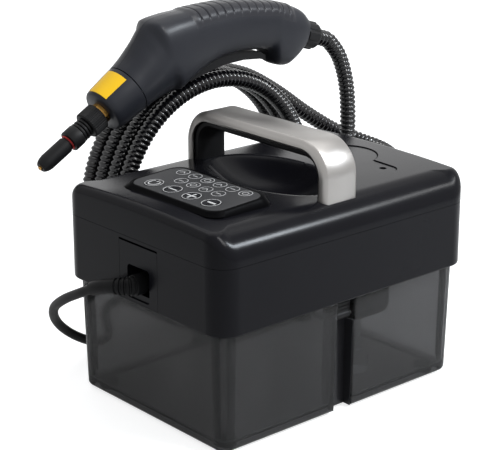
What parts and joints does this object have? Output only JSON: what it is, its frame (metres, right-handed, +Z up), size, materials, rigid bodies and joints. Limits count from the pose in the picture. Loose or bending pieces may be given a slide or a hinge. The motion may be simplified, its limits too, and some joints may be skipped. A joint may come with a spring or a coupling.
{
  "type": "steam cleaner",
  "caption": "Portable steam cleaner: black head with keypad and silver carrying handle on a smoked water tub, steam gun with squeeze lever on a coiled ribbed hose, mains cord.",
  "frame": {"origin": "on the floor, below the middle of the box round the machine and the gun, without hose and cord", "axes": "+Z up, -Y towards the keypad and cord side, +X towards the side away from the hose coil"},
  "size_m": [0.4696, 0.4318, 0.3156],
  "materials": {
    "board_green": "green circuit board",
    "brass": "machined brass",
    "hose_black": "black ribbed hose",
    "housing_black": "satin black moulding, faint sheen",
    "key_dark": "dark grey keys and lamp covers",
    "matt_black": "matt black moulding",
    "panel_grey": "dark grey membrane panel",
    "red_seal": "red seal ring",
    "rubber_black": "black rubber",
    "satin_silver": "satin silver paint",
    "smoked_tub": "dark smoked translucent plastic, glossy",
    "steel": "steel"
  },
  "bodies": {
    "tub_body": {"tub": "smoked_tub", "tub_gasket": "rubber_black", "latch_pin_left": "steel", "latch_pin_right": "steel", "foot_left_front": "rubber_black", "foot_left_rear": "rubber_black", "foot_right_front": "rubber_black", "foot_right_rear": "rubber_black"},
    "latch_left_body": {"latch_left": "matt_black"},
    "latch_right_body": {"latch_right": "matt_black"},
    "lid_body": {"filler_lid": "housing_black"},
    "power_key": {"key_power": "key_dark"},
    "minus_key": {"key_minus": "key_dark"},
    "plus_key": {"key_plus": "key_dark"},
    "start_key": {"key_start": "key_dark"},
    "trigger_body": {"trigger": "matt_black"},
    "gun_body": {"gun_barrel": "matt_black", "gun_grip_pad": "rubber_black", "gun_hose_nut": "matt_black", "gun_shell_left": "matt_black", "gun_shell_right": "matt_black", "gun_valve": "brass", "nozzle_collar": "matt_black", "nozzle_jet": "brass", "nozzle_nut": "matt_black", "nozzle_oring": "red_seal", "nozzle_ring": "brass", "nozzle_tip": "matt_black", "trigger_pin": "steel"},
    "head_body": {"base_plate": "matt_black", "boiler": "steel", "control_board": "board_green", "cord_coil": "rubber_black", "cord_hatch": "housing_black", "cord_run": "rubber_black", "cord_tie": "matt_black", "drop_box": "matt_black", "filler_neck": "matt_black", "handle_lining": "matt_black", "handle_shell": "satin_silver", "hose_coil": "hose_black", "hose_lead": "hose_black", "hose_nut": "matt_black", "hose_tail": "hose_black", "housing_body": "housing_black", "indicator_lenses": "key_dark", "intake_filter": "matt_black", "keypad_bezel": "matt_black", "keypad_panel": "panel_grey", "outlet_fitting": "brass", "plug_body": "rubber_black", "plug_pin_left": "brass", "plug_pin_right": "brass", "pump": "matt_black", "steam_valve": "brass", "strain_relief": "rubber_black", "suction_tube": "rubber_black", "top_cover": "housing_black"}
  },
  "joints": [
    {"name": "head_lift", "type": "slide", "parent": "tub_body", "child": "head_body", "axis": [0, 0, 1], "range_m": [0, 0.12]},
    {"name": "gun_lift", "type": "slide", "parent": "head_body", "child": "gun_body", "axis": [0, 0, 1], "range_m": [0, 0.1]},
    {"name": "trigger_squeeze", "type": "hinge", "parent": "gun_body", "child": "trigger_body", "pos_m": [-0.1027, 0.00343, 0.259], "axis": [1, 0, 0], "range_deg": [0, 5], "stiffness_Nm_per_rad": 1.2, "springref_deg": -6.88},
    {"name": "lid_lift", "type": "slide", "parent": "head_body", "child": "lid_body", "axis": [0, 0, 1], "range_m": [0, 0.03]},
    {"name": "power_press", "type": "slide", "parent": "head_body", "child": "power_key", "axis": [0, 0.0523, -0.9986], "range_m": [0, 0.0008], "stiffness_N_per_m": 300, "springref_m": -0.0004},
    {"name": "minus_press", "type": "slide", "parent": "head_body", "child": "minus_key", "axis": [0, 0.0523, -0.9986], "range_m": [0, 0.0008], "stiffness_N_per_m": 300, "springref_m": -0.0004},
    {"name": "plus_press", "type": "slide", "parent": "head_body", "child": "plus_key", "axis": [0, 0.0523, -0.9986], "range_m": [0, 0.0008], "stiffness_N_per_m": 300, "springref_m": -0.0004},
    {"name": "start_press", "type": "slide", "parent": "head_body", "child": "start_key", "axis": [0, 0.0523, -0.9986], "range_m": [0, 0.0008], "stiffness_N_per_m": 300, "springref_m": -0.0004},
    {"name": "latch_left_swing", "type": "hinge", "parent": "tub_body", "child": "latch_left_body", "pos_m": [-0.0689, -0.01057, 0.0872], "axis": [0, -1, 0], "range_deg": [0, 40]},
    {"name": "latch_right_swing", "type": "hinge", "parent": "tub_body", "child": "latch_right_body", "pos_m": [0.1135, -0.01057, 0.0872], "axis": [0, 1, 0], "range_deg": [0, 40]}
  ]
}
